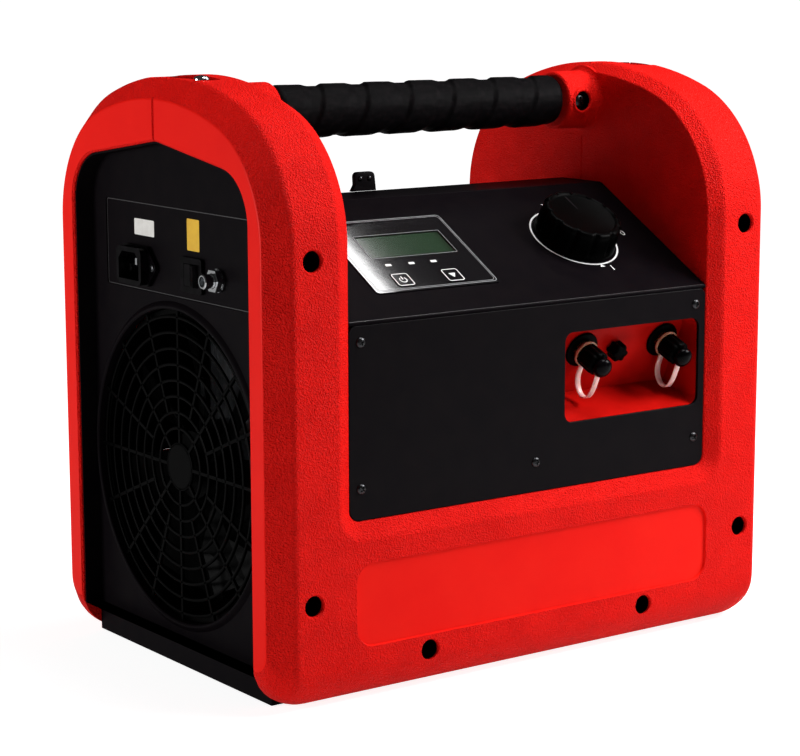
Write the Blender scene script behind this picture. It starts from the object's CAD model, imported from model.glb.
"""Refrigerant recovery machine, dressed: pebbled red halves, black covers and plates, a
taped grip, the control face, the flare ports, the electrical end with its fan grille,
the machinery inside, and a plain studio.

Metres, +Z up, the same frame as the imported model.
"""
import bmesh
import bpy
from math import asin, atan2, cos, pi, radians, sin, sqrt, tan
from mathutils import Matrix, Vector


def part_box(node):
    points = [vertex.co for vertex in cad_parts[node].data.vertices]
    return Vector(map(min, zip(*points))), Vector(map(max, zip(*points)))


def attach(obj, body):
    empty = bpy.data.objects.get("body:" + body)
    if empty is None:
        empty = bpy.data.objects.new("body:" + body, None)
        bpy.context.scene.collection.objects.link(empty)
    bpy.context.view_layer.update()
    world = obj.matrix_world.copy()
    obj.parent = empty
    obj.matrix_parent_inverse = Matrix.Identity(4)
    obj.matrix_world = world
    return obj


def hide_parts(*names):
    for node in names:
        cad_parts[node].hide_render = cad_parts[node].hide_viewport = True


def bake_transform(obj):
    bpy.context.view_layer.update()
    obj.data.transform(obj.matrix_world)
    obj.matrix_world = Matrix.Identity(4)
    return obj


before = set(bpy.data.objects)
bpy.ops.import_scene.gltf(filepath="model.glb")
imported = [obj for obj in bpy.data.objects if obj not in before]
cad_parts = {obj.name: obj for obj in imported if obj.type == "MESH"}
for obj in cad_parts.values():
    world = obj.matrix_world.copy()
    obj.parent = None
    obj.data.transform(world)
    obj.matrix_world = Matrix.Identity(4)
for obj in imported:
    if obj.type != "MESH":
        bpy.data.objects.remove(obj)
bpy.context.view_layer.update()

bl_info = {
    "name": "Refrigerant recovery machine",
    "version": (1, 0, 0),
    "blender": (4, 5, 0),
    "location": "3D View > Sidebar > Recovery machine",
    "description": "Dresses the packed recovery machine with finished pieces and materials",
    "category": "Object",
}

MM = 0.001
WELD = 1e-6                   # points nearer than this are one

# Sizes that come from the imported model
SHELL_LOW, SHELL_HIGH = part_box("front_shell")
PLATE_LOW, PLATE_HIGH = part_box("front_plate")
COVER_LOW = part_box("control_cover")[0]
GRIP_LOW, GRIP_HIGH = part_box("handle_grip")
TUBE_LOW, TUBE_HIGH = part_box("handle_tube")
FIELD_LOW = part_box("connection_plate")[0]
WIDTH = SHELL_HIGH[0] - SHELL_LOW[0]
FRONT = SHELL_LOW[1]
DEPTH = -2 * FRONT
ROOF_TOP = SHELL_HIGH[2]
HANDLE_Z = (TUBE_LOW[2] + TUBE_HIGH[2]) / 2
FAN_Z = 0.1249

# Case, in the same words as the part's own dimensions
ROOF_RADIUS = 0.220
SHOULDER_RADIUS = 0.085
FOOT_RADIUS = 0.025
SIDE_FOOT_RADIUS = 0.028
INNER_WALL = 0.1385
LEG_DEPTH = 0.0275
WEB = 0.005
BEAM_TOP = 0.1078
SEAM = 0.00004                # the halves meet, so no light shows through the seam
TUNNEL_PEAK = 0.3235
TUNNEL_FALL = 0.150
TUNNEL_RADIUS = 0.032
BADGE = (-0.137, 0.137, 0.034, 0.0835)
BOLT_PLACES = [(0.1665, 0.2626), (0.167, 0.0638), (0.0844, 0.024)]
BOSS_RADIUS = 0.019
BOSS_LENGTH = 0.0265
BOSS_HOLE_X = 0.123
POCKET_X = 0.171

# Control face
PLATE_FACE = 0.124
PLATE_SCREWS = [(-0.130, 0.2128), (0.130, 0.2128), (-0.130, 0.1268), (0.130, 0.1268), (0.0, 0.1265)]
COVER_NOSE = 0.2245
SLOPE = radians(29.5)
RIDGE_TOP = 0.283
COVER_WALL = 0.003
MEMBRANE_X = (-0.104, -0.012)
MEMBRANE_S = (0.023, 0.0965)
DISPLAY_X = (-0.0865, -0.0245)
DISPLAY_S = (0.0575, 0.0785)
KEY_PLACES = {"power": (-0.0790, 0.0338), "step": (-0.0420, 0.0338)}
KEY_SIZE = 0.0126
KEY_PROUD = 0.0012
KNOB_X = 0.0728
KNOB_S = 0.0608
GAP = 0.0003                  # between pieces that stay still
RUN = 0.0006                  # beside a piece that moves

# Ports
TRAY_X = (0.0227, 0.1330)
TRAY_Z = (0.148, 0.204)
TRAY_CREASE = (-0.091, 0.1598)
TRAY_TILT = radians(24)
PORTS = {"inlet": 0.0515, "outlet": 0.1185}
PORT_RISE = 0.0322
BLEED_X = 0.0790
BLEED_RISE = 0.0300
HEX_ACROSS = 0.0135
HEX_THICK = 0.0045
WASHER_THICK = 0.002

# Ends
END_FACE = 0.1794
FIELD_Y = (-0.083, 0.083)
FIELD_Z = (0.2295, 0.283)
INLET_Y = 0.0438
SOCKET_Z = 0.2446

# Roof and shoulder of the arches in the YZ plane, two arcs that meet smoothly
ROOF_CENTRE = (0.0, ROOF_TOP - ROOF_RADIUS)
SHOULDER_Y = FRONT + SHOULDER_RADIUS
SHOULDER_RISE = sqrt((ROOF_RADIUS - SHOULDER_RADIUS) ** 2 - SHOULDER_Y ** 2)
SHOULDER_CENTRE = (SHOULDER_Y, ROOF_CENTRE[1] + SHOULDER_RISE)
SHOULDER_START = atan2(SHOULDER_RISE, SHOULDER_Y)

# Camera worked out from the photograph, for a frame of 800 by 756
FRAME_SIZE = (800, 756)
FOCAL_PIXELS = 2355.0
SENSOR_WIDTH = 36.0
CAMERA_PLACE = (-0.8914, -1.2170, 0.4256)
CAMERA_TURN = radians(-35.83)
CAMERA_PITCH = radians(-9.94)
CAMERA_ROLL = radians(-0.12)

# Frames: local X and Y of an outline lie in its plane, local Z is the extrusion
ALONG_X = Matrix(((0, 0, 1, 0), (1, 0, 0, 0), (0, 1, 0, 0), (0, 0, 0, 1)))
ALONG_Y = Matrix(((1, 0, 0, 0), (0, 0, -1, 0), (0, 1, 0, 0), (0, 0, 0, 1)))
HALF_TURN = Matrix.Rotation(pi, 4, "Z")


def slope_frame():
    """Origin at the front edge of the slope, local Y up the slope, local Z out of it."""
    rows = ((1, 0, 0, 0), (0, cos(SLOPE), -sin(SLOPE), -PLATE_FACE),
            (0, sin(SLOPE), cos(SLOPE), COVER_NOSE), (0, 0, 0, 1))
    return Matrix(rows)


def port_frame(x, rise):
    """Origin on the slanted wall of the port recess, local Z out along the port."""
    y = TRAY_CREASE[0] - rise * sin(TRAY_TILT)
    z = TRAY_CREASE[1] + rise * cos(TRAY_TILT)
    rows = ((1, 0, 0, x), (0, -sin(TRAY_TILT), -cos(TRAY_TILT), y),
            (0, cos(TRAY_TILT), -sin(TRAY_TILT), z), (0, 0, 0, 1))
    return Matrix(rows)


def end_frame(y, z, x=-END_FACE):
    """On the left end: local X towards the front, local Y up, local Z outwards."""
    return Matrix(((0, 0, -1, x), (-1, 0, 0, y), (0, 1, 0, z), (0, 0, 0, 1)))


def facing_front(x, z):
    """At x and z on the mid plane, local X to the right, local Z towards the front."""
    return Matrix.Translation((x, 0, z)) @ ALONG_Y


# Outlines and profiles

def arc(centre, radius, start, end, steps):
    angles = [start + (end - start) * i / steps for i in range(steps + 1)]
    return [(centre[0] + radius * cos(a), centre[1] + radius * sin(a)) for a in angles]


def circle(centre, radius, steps):
    return arc(centre, radius, 0, 2 * pi * (steps - 1) / steps, steps - 1)


def corner_arc(back, here, ahead, radius, steps):
    """Points of the arc that rounds the corner at here."""
    here = Vector(here)
    back = (Vector(back) - here).normalized()
    ahead = (Vector(ahead) - here).normalized()
    half = back.angle(ahead) / 2
    middle = here + (back + ahead).normalized() * (radius / sin(half))
    start = here + back * (radius / tan(half)) - middle
    end = here + ahead * (radius / tan(half)) - middle
    turn = start.angle_signed(end)
    points = []
    for k in range(steps + 1):
        spoke = start.copy()
        spoke.rotate(Matrix.Rotation(-turn * k / steps, 2))
        points.append(tuple(middle + spoke))
    return points


def rounded(corners, steps=8, closed=True):
    """An outline whose corners (u, v, radius) are rounded by arcs."""
    points = []
    count = len(corners)
    for i, (u, v, radius) in enumerate(corners):
        if radius <= 0 or (not closed and i in (0, count - 1)):
            points.append((u, v))
            continue
        points += corner_arc(corners[i - 1][:2], (u, v), corners[(i + 1) % count][:2], radius, steps)
    return points


def rectangle(u_low, u_high, v_low, v_high, radius=0.0, steps=6):
    corners = [(u_low, v_low), (u_high, v_low), (u_high, v_high), (u_low, v_high)]
    return rounded([(u, v, radius) for u, v in corners], steps)


def widened(u_span, v_span, margin, radius=0.0, steps=6):
    """A rectangle over two spans, its sides moved out by margin."""
    return rectangle(u_span[0] - margin, u_span[1] + margin, v_span[0] - margin, v_span[1] + margin,
                     radius, steps)


def smooth_path(points, per_span):
    """A smooth curve through the points, its first and last spans straight."""
    places = [Vector(p) for p in points]
    path = [places[0]]
    for a, b, c, d in zip(places, places[1:], places[2:], places[3:]):
        for k in range(per_span):
            t = k / per_span
            path.append(0.5 * (2 * b + (c - a) * t + (2 * a - 5 * b + 4 * c - d) * t ** 2
                               + (3 * b - a - 3 * c + d) * t ** 3))
    return [*path, places[-2], places[-1]]


def hollow(inner, outer, top, bottom):
    """Profile of a plain ring or sleeve."""
    return [(outer, top), (outer, bottom), (inner, bottom), (inner, top), (outer, top)]


def inside(radius, height, steps):
    """Profile points, each given by how far it lies inside a radius and below a height."""
    return [(radius - inset, height - drop) for inset, drop in steps]


# Mesh builders

def linked(name, data):
    """A new object for the data, in the scene."""
    obj = bpy.data.objects.new(name, data)
    bpy.context.scene.collection.objects.link(obj)
    return obj


def from_bmesh(name, bm, place=None):
    bmesh.ops.remove_doubles(bm, verts=bm.verts, dist=WELD)
    bmesh.ops.recalc_face_normals(bm, faces=bm.faces)
    mesh = bpy.data.meshes.new(name)
    bm.to_mesh(mesh)
    bm.free()
    if place is not None:
        mesh.transform(place)
    return linked(name, mesh)


def baked(obj):
    """Turn an object's live modifiers, curve or text into its plain mesh."""
    name = obj.name
    bpy.context.view_layer.update()
    graph = bpy.context.evaluated_depsgraph_get()
    mesh = bpy.data.meshes.new_from_object(obj.evaluated_get(graph), depsgraph=graph)
    data, kind = obj.data, obj.type
    obj.name = name + "_guide"
    bpy.data.objects.remove(obj, do_unlink=True)
    if kind == "MESH":
        bpy.data.meshes.remove(data)
    else:
        bpy.data.curves.remove(data)
    mesh.name = name
    return linked(name, mesh)


def welded(obj):
    bm = bmesh.new()
    bm.from_mesh(obj.data)
    bmesh.ops.remove_doubles(bm, verts=bm.verts, dist=WELD)
    bmesh.ops.recalc_face_normals(bm, faces=bm.faces)
    bm.to_mesh(obj.data)
    bm.free()
    return obj


def prism(name, loops, low, high, place=None, edge=0.0, edge_steps=2):
    """Flat outlines, holes included, extruded from low to high, with softened edges."""
    curve = bpy.data.curves.new(name, "CURVE")
    curve.dimensions = "2D"
    curve.fill_mode = "BOTH"
    curve.extrude = (high - low) / 2 - edge
    curve.bevel_depth = edge
    curve.offset = -edge
    curve.bevel_resolution = edge_steps
    if not isinstance(loops[0][0], (tuple, list)):
        loops = [loops]
    for points in loops:
        spline = curve.splines.new("POLY")
        spline.points.add(len(points) - 1)
        for item, (u, v) in zip(spline.points, points):
            item.co = (u, v, 0.0, 1.0)
        spline.use_cyclic_u = True
    solid = welded(baked(linked(name, curve)))
    solid.data.transform((place or Matrix()) @ Matrix.Translation((0, 0, (low + high) / 2)))
    return solid


def turned(name, profile, place=None, steps=64, reach=None):
    """A turned piece from (radius, height) pairs; reach(angle, radius, height) may flute it."""
    bm = bmesh.new()
    rings = []
    for radius, height in profile:
        if radius < WELD:
            rings.append([bm.verts.new((0, 0, height))])
            continue
        ring = []
        for i in range(steps):
            angle = 2 * pi * i / steps
            r = reach(angle, radius, height) if reach else radius
            ring.append(bm.verts.new((r * cos(angle), r * sin(angle), height)))
        rings.append(ring)
    for upper, lower in zip(rings, rings[1:]):
        for i in range(steps):
            j = (i + 1) % steps
            loop = [upper[i % len(upper)], lower[i % len(lower)], lower[j % len(lower)],
                    upper[j % len(upper)]]
            corners = list(dict.fromkeys(loop))
            if len(corners) > 2:
                bm.faces.new(corners)
    for ring in (rings[0], rings[-1]):
        if len(ring) > 1 and profile[0] != profile[-1]:
            bm.faces.new(ring)
    return from_bmesh(name, bm, place)


def skinned(name, bm, rings, place=None):
    """Rings of equal count joined side by side, with flat ends."""
    for first, second in zip(rings, rings[1:]):
        for i in range(len(first)):
            j = (i + 1) % len(first)
            bm.faces.new((first[i], first[j], second[j], second[i]))
    bm.faces.new(rings[0])
    bm.faces.new(rings[-1])
    return from_bmesh(name, bm, place)


def loft(name, sections, place=None):
    """Closed sections of equal count, each with its height."""
    bm = bmesh.new()
    rings = [[bm.verts.new((u, v, height)) for u, v in points] for height, points in sections]
    return skinned(name, bm, rings, place)


def sweep(name, stations, section):
    """A closed section of (side, up) pairs carried along stations (place, side, up)."""
    bm = bmesh.new()
    return skinned(name, bm, [[bm.verts.new(place + side * u + up * v) for u, v in section]
                              for place, side, up in stations])


def block(name, low, high):
    bm = bmesh.new()
    bmesh.ops.create_cube(bm, size=1.0)
    for vert in bm.verts:
        vert.co = [high[i] if vert.co[i] > 0 else low[i] for i in range(3)]
    return from_bmesh(name, bm)


def combine(obj, others, operation):
    """Apply booleans with other solids, which are used up."""
    for other in others:
        step = obj.modifiers.new(operation.lower(), "BOOLEAN")
        step.operation = operation
        step.solver = "MANIFOLD"
        step.object = other
    solid = baked(obj)
    for other in others:
        bpy.data.objects.remove(other, do_unlink=True)
    return solid


def cut(obj, *others):
    return combine(obj, others, "DIFFERENCE")


def join(obj, *others):
    return combine(obj, others, "UNION")


def finish(obj, *materials, slot, body="case", sharp=35, replaces=None):
    """Smooth a piece that isn't evened yet, give it its materials and let it ride on its body."""
    mesh = obj.data
    for i, name in enumerate(materials):
        if i == len(mesh.materials):
            mesh.materials.append(None)
        mesh.materials[i] = MATERIALS[name]
    if not mesh.has_custom_normals:
        mesh.shade_smooth()
        mesh.set_sharp_from_angle(angle=radians(sharp))
    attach(obj, body)
    if replaces:
        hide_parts(replaces)


def evened(obj, sharp=35):
    """Weight the shading by face area, so that flat faces beside fine rounds stay flat."""
    obj.data.shade_smooth()
    obj.data.set_sharp_from_angle(angle=radians(sharp))
    step = obj.modifiers.new("even", "WEIGHTED_NORMAL")
    step.keep_sharp = True
    step.weight = 100
    return baked(obj)


# Colours and node helpers

def linear(hex_colour):
    """An sRGB hex colour as linear values for a shader."""
    parts = [int(hex_colour[i:i + 2], 16) / 255 for i in (1, 3, 5)]
    return (*[c / 12.92 if c <= 0.04045 else ((c + 0.055) / 1.055) ** 2.4 for c in parts], 1.0)


def add(tree, kind, settings=None, *terms, **inputs):
    """Add a node. Its settings may be the operation alone. An input is a value or a socket: the
    terms come in order, the others by name, or as _3 by place."""
    item = tree.nodes.new(kind)
    if isinstance(settings, str):
        settings = {"operation": settings}
    for key, value in (settings or {}).items():
        setattr(item, key, value)
    inputs.update({f"_{i}": term for i, term in enumerate(terms)})
    for key, value in inputs.items():
        socket = item.inputs[int(key[1:])] if key[1:].isdigit() else item.inputs[key.replace("_", " ")]
        if isinstance(value, bpy.types.NodeSocket):
            tree.links.new(value, socket)
        else:
            socket.default_value = value
    return item


def out(tree, kind, settings=None, *terms, **inputs):
    """Add a node for its first output."""
    return add(tree, kind, settings, *terms, **inputs).outputs[0]


def feed(shader, socket, kind, settings=None, *terms, **inputs):
    """Add a node whose first output drives an input of the shader."""
    tree = shader.id_data
    tree.links.new(out(tree, kind, settings, *terms, **inputs), shader.inputs[socket])


def pattern(tree, kind, size, settings=None, stretch=None, **inputs):
    """A texture on the piece's own coordinates, whose grains have a real size."""
    place = add(tree, "ShaderNodeTexCoord").outputs["Object"]
    if stretch:
        place = out(tree, "ShaderNodeMapping", Vector=place, Scale=stretch)
    return out(tree, kind, settings, Vector=place, Scale=1 / size, **inputs)


def new_material(name, tone, roughness, metallic=0.0, gloss=0.5, **more):
    """A Principled material whose plain values stand on the shader's own sockets."""
    mat = bpy.data.materials.new(name)
    mat.use_nodes = True
    shader = mat.node_tree.nodes["Principled BSDF"]
    values = {"Base_Color": linear(tone), "Roughness": roughness, "Metallic": metallic,
              "Specular_IOR_Level": gloss, **more}
    for key, value in values.items():
        shader.inputs[key.replace("_", " ")].default_value = value
    mat.diffuse_color = linear(tone)
    return mat, mat.node_tree, shader


def toned(tree, shader, share, tone, other, low=0.0, high=1.0):
    """Base colour that goes from one tone to the other as the share rises."""
    ramp = add(tree, "ShaderNodeValToRGB", Fac=share)
    for stop, position, colour in zip(ramp.color_ramp.elements, (low, high), (tone, other)):
        stop.position = position
        stop.color = linear(colour)
    tree.links.new(ramp.outputs["Color"], shader.inputs["Base Color"])


def mottle(tree, shader, tone, other, size, low=0.35, high=0.65):
    """Colour that drifts between two tones over patches of a real size."""
    patches = pattern(tree, "ShaderNodeTexNoise", size, Detail=3.0)
    toned(tree, shader, patches, tone, other, low, high)


def vary_roughness(tree, shader, low, high, size, stretch=(1, 1, 1)):
    grains = pattern(tree, "ShaderNodeTexNoise", size, stretch=stretch, Detail=4.0)
    feed(shader, "Roughness", "ShaderNodeMapRange", Value=grains, _3=low, _4=high)


def surface(name, tone, roughness, metallic=0.0, patches=None, sheen=None, grain=None, **more):
    """A material with patches (other tone, size, low, high), a sheen (low and high roughness,
    size, stretch) and a grain (size, strength, depth, detail)."""
    mat, tree, shader = new_material(name, tone, roughness, metallic, **more)
    if patches:
        mottle(tree, shader, tone, *patches)
    if sheen:
        vary_roughness(tree, shader, *sheen)
    if grain:
        size, strength, depth, *detail = grain
        grains = pattern(tree, "ShaderNodeTexNoise", size, Detail=detail[0] if detail else 2.0)
        feed(shader, "Normal", "ShaderNodeBump", Height=grains, Strength=strength, Distance=depth)
    return mat


# Materials

def red_pebbled(colours):
    """Moulded polyethylene with a pebbled mould face: satin, every grain with a glint."""
    mat, tree, shader = new_material("Pebbled red polyethylene", colours.red_deep, 0.50, gloss=0.05)
    mottle(tree, shader, colours.red_deep, colours.red, 20 * MM, 0.3, 0.7)
    cells = pattern(tree, "ShaderNodeTexVoronoi", 0.95 * MM, {"feature": "SMOOTH_F1"}, Smoothness=0.6)
    pebbles = out(tree, "ShaderNodeBump", Height=cells, Strength=1.0, Distance=0.85 * MM)
    grit = pattern(tree, "ShaderNodeTexNoise", 0.6 * MM, Detail=2.0)
    feed(shader, "Normal", "ShaderNodeBump", Height=grit, Strength=1.0, Distance=0.5 * MM, Normal=pebbles)
    return mat


def red_smooth(colours):
    """The same plastic on the smooth bands: a softer, wider gloss with faint flow marks."""
    return surface("Smooth red polyethylene", colours.red, 0.38, gloss=0.05,
                   patches=(colours.red_bright, 30 * MM, 0.25, 0.75),
                   sheen=(0.32, 0.42, 12 * MM), grain=(4 * MM, 0.12, 0.15 * MM))


def red_painted(colours):
    """Powder coated sheet of the port recess: even satin red with a light orange peel."""
    return surface("Red powder coat", colours.recess_deep, 0.42, gloss=0.05,
                   patches=(colours.recess, 15 * MM, 0.3, 0.7), grain=(1.1 * MM, 0.16, 0.12 * MM))


def black_satin(colours, name, roughness, gloss):
    """Powder coated sheet steel: even satin black with a fine orange peel in the light."""
    return surface(name, colours.black, roughness, gloss=gloss,
                   patches=(colours.black_worn, 12 * MM, 0.35, 0.85),
                   grain=(0.9 * MM, 0.14, 0.10 * MM))


def black_moulded(colours):
    """Moulded ABS of knobs, caps and the fan: deep black with a soft wide gloss."""
    return surface("Moulded black ABS", colours.black_deep, 0.36, gloss=0.015,
                   sheen=(0.30, 0.42, 8 * MM), grain=(0.5 * MM, 0.10, 0.05 * MM))


def black_gloss(colours):
    """Polished nylon of the inlet and switch: black with sharp highlights."""
    return surface("Polished black nylon", colours.black_deep, 0.24, gloss=0.04,
                   patches=(colours.black, 6 * MM), sheen=(0.14, 0.26, 6 * MM))


def grip_tape(colours):
    """Cushioned grip tape: soft, dull black with paler rubbed ridges. Its pores are drawn coarse
    enough to show."""
    mat, tree, shader = new_material("Cushioned grip tape", colours.grip, 0.58, gloss=0.025)
    pores = pattern(tree, "ShaderNodeTexVoronoi", 0.9 * MM)
    coarse = out(tree, "ShaderNodeBump", Height=pores, Strength=0.22, Distance=0.12 * MM)
    folds = pattern(tree, "ShaderNodeTexNoise", 2.6 * MM, Detail=4.0)
    feed(shader, "Normal", "ShaderNodeBump", Height=folds, Strength=0.3, Distance=0.3 * MM, Normal=coarse)
    mottle(tree, shader, colours.grip, colours.black_worn, 4 * MM, 0.45, 0.8)
    return mat


def chrome_plate():
    """Polished chrome: a clean mirror, hardly broken."""
    return surface("Polished chrome plate", "#D6D8DA", 0.10, 1.0, sheen=(0.07, 0.13, 6 * MM))


def blackened_steel():
    """Blackened screw steel: a dark reflection broken by tool marks, drawn coarse enough to show."""
    return surface("Blackened steel screws", "#3A3A3C", 0.30, 1.0, sheen=(0.24, 0.36, 2 * MM),
                   grain=(0.4 * MM, 0.2, 0.05 * MM))


def zinc_plated():
    """Zinc plated steel: pale grey with small crystal patches."""
    return surface("Zinc plated steel", "#9FA3A7", 0.34, 1.0, sheen=(0.26, 0.44, 2 * MM),
                   patches=("#C4C7CA", 3 * MM, 0.3, 0.7))


def cast_aluminium():
    """Sand cast aluminium: dull grey and rough, with the sand's pits."""
    return surface("Sand cast aluminium", "#8F9295", 0.55, 1.0,
                   patches=("#B8BBBD", 6 * MM, 0.3, 0.7), grain=(0.9 * MM, 0.5, 0.25 * MM, 6.0))


def mill_aluminium():
    """Mill finish aluminium fins: thin bright edges, slightly streaked."""
    return surface("Mill finish aluminium", "#B9BCBF", 0.32, 1.0, patches=("#D2D4D6", 10 * MM),
                   sheen=(0.24, 0.42, 2 * MM, (1, 1, 12)))


def drawn_copper():
    """Drawn copper tube: warm and bright, with browner handled patches."""
    return surface("Drawn copper", "#B86C45", 0.28, 1.0, patches=("#D28A63", 6 * MM, 0.35, 0.7),
                   sheen=(0.20, 0.38, 4 * MM))


def machined_brass():
    """Machined brass of the fittings: warm yellow with faint turning marks, drawn coarser than
    real ones so that they show."""
    return surface("Machined brass", "#CF9A45", 0.30, 1.0, patches=("#EABF70", 4 * MM, 0.35, 0.7),
                   sheen=(0.20, 0.34, 1 * MM))


def black_rubber(colours):
    """Vulcanised rubber: dull, slightly dusty black."""
    return surface("Vulcanised rubber", colours.black, 0.85, gloss=0.2,
                   patches=("#2A2828", 3 * MM, 0.4, 0.8))


def printed_film(colours):
    """Polyester overlay printed from behind: flat glossy black that mirrors the window."""
    return surface("Printed polyester film", colours.film, 0.07, gloss=0.4,
                   sheen=(0.05, 0.07, 10 * MM), grain=(9 * MM, 0.03, 0.2 * MM))


def liquid_crystal(colours):
    """Unlit liquid crystal behind glass: grey-green, darker towards the frame."""
    mat, tree, shader = new_material("Unlit liquid crystal", colours.display, 0.08, gloss=0.35)
    low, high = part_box("display_module")
    half = (high[0] - low[0]) / 2
    place = add(tree, "ShaderNodeTexCoord").outputs["Object"]
    x = out(tree, "ShaderNodeSeparateXYZ", Vector=place)
    off = out(tree, "ShaderNodeMath", "SUBTRACT", x, (low[0] + high[0]) / 2)
    far = out(tree, "ShaderNodeMath", "ABSOLUTE", off)
    edge = out(tree, "ShaderNodeMapRange", Value=far, _1=half - 6 * MM, _2=half)
    cells = pattern(tree, "ShaderNodeTexNoise", 1.2 * MM, Detail=2.0)
    share = out(tree, "ShaderNodeMath", "MULTIPLY_ADD", cells, 0.12, edge)
    toned(tree, shader, share, colours.display, colours.display_edge)
    return mat


def solder_resist():
    """Circuit board: green lacquer over copper tracks."""
    mat, tree, shader = new_material("Green solder resist", "#0E5A2B", 0.35)
    tracks = pattern(tree, "ShaderNodeTexVoronoi", 5 * MM, {"distance": "CHEBYCHEV"})
    toned(tree, shader, tracks, "#16713A", "#0B4A22")
    return mat


def soft_vinyl(name, tone, pale):
    """Soft clear vinyl of the cap straps: milky, with the light inside it."""
    return surface(name, tone, 0.30, patches=(pale, 3 * MM, 0.3, 0.7), Subsurface_Weight=0.35,
                   Subsurface_Scale=4 * MM)


def print_ink(name, tone):
    """Screen printed ink: flat, even and slightly raised."""
    return surface(name, tone, 0.45, sheen=(0.38, 0.52, 2 * MM))


def blank_label(name, tone, deep):
    """Satin vinyl label left bare, its colour a little uneven."""
    return surface(name, tone, 0.38, patches=(deep, 4 * MM, 0.3, 0.9))


def studio_paper(colours, glow):
    """Seamless white paper lit from below, brighter far off: matt, with its fibre drawn coarse
    enough to be just seen."""
    mat, tree, shader = new_material("Seamless white paper", colours.paper, 0.9,
                                     Emission_Color=(1, 1, 1, 1))
    place = add(tree, "ShaderNodeTexCoord").outputs["Object"]
    far = add(tree, "ShaderNodeVectorMath", "LENGTH", place).outputs["Value"]
    rise = out(tree, "ShaderNodeMapRange", Value=far, _1=0.4, _2=1.6, _3=0.88, _4=1.05)
    seen = add(tree, "ShaderNodeLightPath").outputs["Is Camera Ray"]
    feed(shader, "Emission Strength", "ShaderNodeMapRange", Value=seen, _3=glow, _4=rise)
    fibre = pattern(tree, "ShaderNodeTexNoise", 3 * MM, Detail=2.0)
    feed(shader, "Normal", "ShaderNodeBump", Height=fibre, Strength=0.03, Distance=0.2 * MM)
    return mat


MATERIALS = {}


def make_materials(colours, glow):
    MATERIALS.update({
        "red_pebbled": red_pebbled(colours),
        "red_smooth": red_smooth(colours),
        "red_painted": red_painted(colours),
        "black_sheet": black_satin(colours, "Satin black steel sheet", 0.42, 0.05),
        "black_cover": black_satin(colours, "Satin black cover sheet", 0.40, 0.012),
        "black_panel": black_satin(colours, "Satin black end panel", 0.46, 0.02),
        "black_moulded": black_moulded(colours),
        "black_gloss": black_gloss(colours),
        "grip": grip_tape(colours),
        "zinc": zinc_plated(),
        "chrome": chrome_plate(),
        "blackened": blackened_steel(),
        "brass": machined_brass(),
        "copper": drawn_copper(),
        "fins": mill_aluminium(),
        "cast": cast_aluminium(),
        "rubber": black_rubber(colours),
        "film": printed_film(colours),
        "display": liquid_crystal(colours),
        "board": solder_resist(),
        "vinyl": soft_vinyl("Milky soft vinyl", colours.tether, "#F6CDC8"),
        "vinyl_eye": soft_vinyl("Milky vinyl over brass", colours.strap_eye, "#C79C80"),
        "white_ink": print_ink("White screen print", colours.print_white),
        "grey_ink": print_ink("Grey screen print", colours.print_grey),
        "rubbed": print_ink("Rubbed black edge", "#1E1B1D"),
        "lamp": print_ink("Milky lamp window", "#F2F2EE"),
        "white_label": blank_label("White vinyl label", "#E9E7E2", "#D9D6D0"),
        "yellow_label": blank_label("Yellow vinyl label", "#E8B81A", "#DDA80E"),
        "paper": studio_paper(colours, glow),
    })


def dress(material, *nodes):
    """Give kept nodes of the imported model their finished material."""
    for name in nodes:
        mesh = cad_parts[name].data
        if not mesh.materials:
            mesh.materials.append(None)
        for i in range(len(mesh.materials)):
            mesh.materials[i] = MATERIALS[material]


# Geometry Nodes for what repeats

def new_tree(name, **sockets):
    """A node tree with a geometry input and output and named inputs with defaults."""
    tree = bpy.data.node_groups.new(name, "GeometryNodeTree")
    tree.interface.new_socket("Geometry", in_out="INPUT", socket_type="NodeSocketGeometry")
    kinds = {float: "NodeSocketFloat", int: "NodeSocketInt", tuple: "NodeSocketVector"}
    for key, default in sockets.items():
        item = tree.interface.new_socket(key.replace("_", " "), in_out="INPUT",
                                         socket_type=kinds[type(default)])
        item.default_value = default
    tree.interface.new_socket("Material", in_out="INPUT", socket_type="NodeSocketMaterial")
    tree.interface.new_socket("Geometry", in_out="OUTPUT", socket_type="NodeSocketGeometry")
    return tree, add(tree, "NodeGroupInput").outputs


def close_tree(tree, geometry, values):
    solid = out(tree, "GeometryNodeRealizeInstances", Geometry=geometry)
    coloured = out(tree, "GeometryNodeSetMaterial", Geometry=solid, Material=values["Material"])
    add(tree, "NodeGroupOutput", Geometry=coloured)
    return tree


def grown(name, tree, material, guide=None, **values):
    """Run a tree on a guide mesh and keep the result as a plain mesh."""
    obj = linked(name, guide or bpy.data.meshes.new(name))
    step = obj.modifiers.new("grow", "NODES")
    step.node_group = tree
    values["Material"] = MATERIALS[material]
    wanted = {key.replace("_", " "): value for key, value in values.items()}
    for item in tree.interface.items_tree:
        if item.in_out == "INPUT" and item.name in wanted:
            step[item.identifier] = wanted[item.name]
    return baked(obj)


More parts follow.
